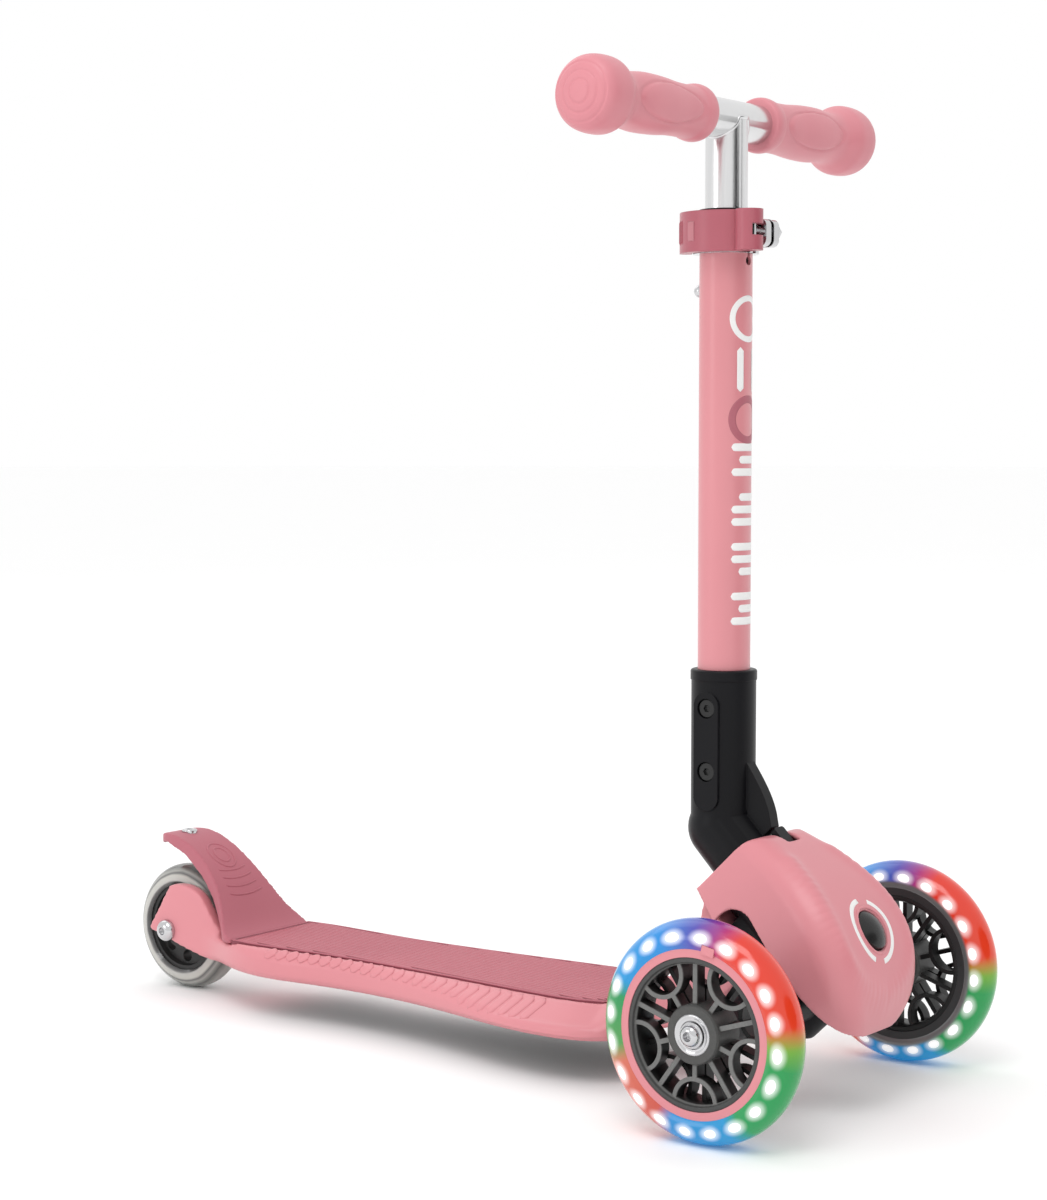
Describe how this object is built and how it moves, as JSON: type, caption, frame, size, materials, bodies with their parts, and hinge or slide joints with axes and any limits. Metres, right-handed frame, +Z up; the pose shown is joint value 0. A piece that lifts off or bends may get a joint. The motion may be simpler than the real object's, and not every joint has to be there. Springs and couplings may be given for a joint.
{
  "type": "kick scooter",
  "caption": "Child's folding kick scooter: a low deck on paired lean-steer front wheels and a small rear wheel, an upright T handle with a sliding height clamp, and a rear foot brake.",
  "frame": {"origin": "centre of the bounding box on the ground under the wheels", "axes": "+Z up; -Y is the way the scooter rides; -X is the rider's right; the mast is upright in the rest pose"},
  "size_m": [0.288, 0.583, 0.5707],
  "materials": {
    "shell_pink": "satin pink plastic",
    "mat_rose": "dark rose plastic, fine diagonal ribs",
    "mast_pink": "pink powder coat",
    "grip_pink": "soft pink grip rubber",
    "lever_rose": "dark rose moulded plastic",
    "frame_black": "black moulded plastic",
    "bush_black": "black urethane",
    "hub_grey": "dark grey moulded plastic",
    "tyre_clear": "clear cast urethane",
    "led_clear": "clear light guide with lamps",
    "ring_pink": "pink plastic",
    "silver": "satin silver",
    "polished": "polished",
    "steel": "zinc plated"
  },
  "bodies": {
    "deck": {"deck_shell": "shell_pink", "deck_mat": "mat_rose", "deck_plate": "frame_black", "deck_plate_screws": "steel", "rear_axle_bolt": "polished", "rear_axle_nut": "steel", "rear_axle_spacers": "steel", "brake_hinge_pin": "steel", "brake_spring": "steel", "hood_shell": "shell_pink", "hood_screws": "steel", "steering_head": "frame_black", "neck_bolts": "steel", "pivot_bolt": "steel", "king_bolt": "steel", "king_nut": "steel", "lock_springs": "steel", "latch_spring": "steel"},
    "brake": {"brake_fender": "mat_rose", "brake_wear_plate": "steel", "brake_screw": "polished"},
    "rear_wheel": {"rear_tyre": "tyre_clear", "rear_hub": "hub_grey", "rear_bearings": "polished", "rear_bearing_spacer": "steel"},
    "front_axle": {"axle_carrier": "frame_black", "centring_bush": "bush_black", "axle_spacers": "steel", "left_axle_bolt": "polished", "right_axle_bolt": "polished"},
    "left_wheel": {"left_tyre": "tyre_clear", "left_colour_ring": "ring_pink", "left_led_ring": "led_clear", "left_hub": "hub_grey", "left_bearings": "polished", "left_bearing_spacer": "steel"},
    "right_wheel": {"right_tyre": "tyre_clear", "right_colour_ring": "ring_pink", "right_led_ring": "led_clear", "right_hub": "hub_grey", "right_bearings": "polished", "right_bearing_spacer": "steel"},
    "lock_button": {"lock_button": "frame_black"},
    "latch": {"latch_key": "frame_black"},
    "mast": {"fold_elbow": "frame_black", "socket_screws": "steel", "socket_nuts": "steel", "mast_tube": "mast_pink", "guide_bush": "frame_black", "guide_pin": "polished", "clamp_collar": "silver", "clamp_bolt": "polished", "clamp_nut": "steel"},
    "clamp_lever": {"clamp_lever": "lever_rose"},
    "handle": {"handle_tube": "silver", "left_grip": "grip_pink", "right_grip": "grip_pink"}
  },
  "joints": [
    {"name": "mast_fold", "type": "hinge", "parent": "deck", "child": "mast", "pos_m": [0, -0.1735, 0.149], "axis": [0, 0.6947, 0.7193], "range_deg": [0, 180]},
    {"name": "handle_height", "type": "slide", "parent": "mast", "child": "handle", "axis": [0, 0, 1], "range_m": [-0.028, 0.07]},
    {"name": "clamp_lever_open", "type": "hinge", "parent": "mast", "child": "clamp_lever", "pos_m": [-0.0152, -0.198, 0.48625], "axis": [0, 0, 1], "range_deg": [0, 95]},
    {"name": "lean_steer", "type": "hinge", "parent": "deck", "child": "front_axle", "pos_m": [0, -0.23157, 0.06007], "axis": [0, -0.7193, 0.6947], "range_deg": [-12, 12], "stiffness_Nm_per_rad": 12},
    {"name": "left_wheel_spin", "type": "hinge", "parent": "front_axle", "child": "left_wheel", "pos_m": [0.1105, -0.2315, 0.06], "axis": [1, 0, 0], "continuous": true},
    {"name": "right_wheel_spin", "type": "hinge", "parent": "front_axle", "child": "right_wheel", "pos_m": [-0.1105, -0.2315, 0.06], "axis": [1, 0, 0], "continuous": true},
    {"name": "rear_wheel_spin", "type": "hinge", "parent": "deck", "child": "rear_wheel", "pos_m": [0, 0.2495, 0.042], "axis": [1, 0, 0], "continuous": true},
    {"name": "brake_press", "type": "hinge", "parent": "deck", "child": "brake", "pos_m": [0, 0.1895, 0.037], "axis": [-1, 0, 0], "range_deg": [0, 3.3], "stiffness_Nm_per_rad": 3, "springref_deg": -6.88},
    {"name": "steer_lock_press", "type": "slide", "parent": "deck", "child": "lock_button", "axis": [0, 0.7193, -0.6947], "range_m": [0, 0.0026], "stiffness_N_per_m": 400, "springref_m": -0.002, "deforming": ["lock_springs"]},
    {"name": "fold_latch_press", "type": "slide", "parent": "deck", "child": "latch", "axis": [0, -0.6947, -0.7193], "range_m": [0, 0.006], "stiffness_N_per_m": 300, "springref_m": -0.002, "deforming": ["latch_spring"]}
  ]
}
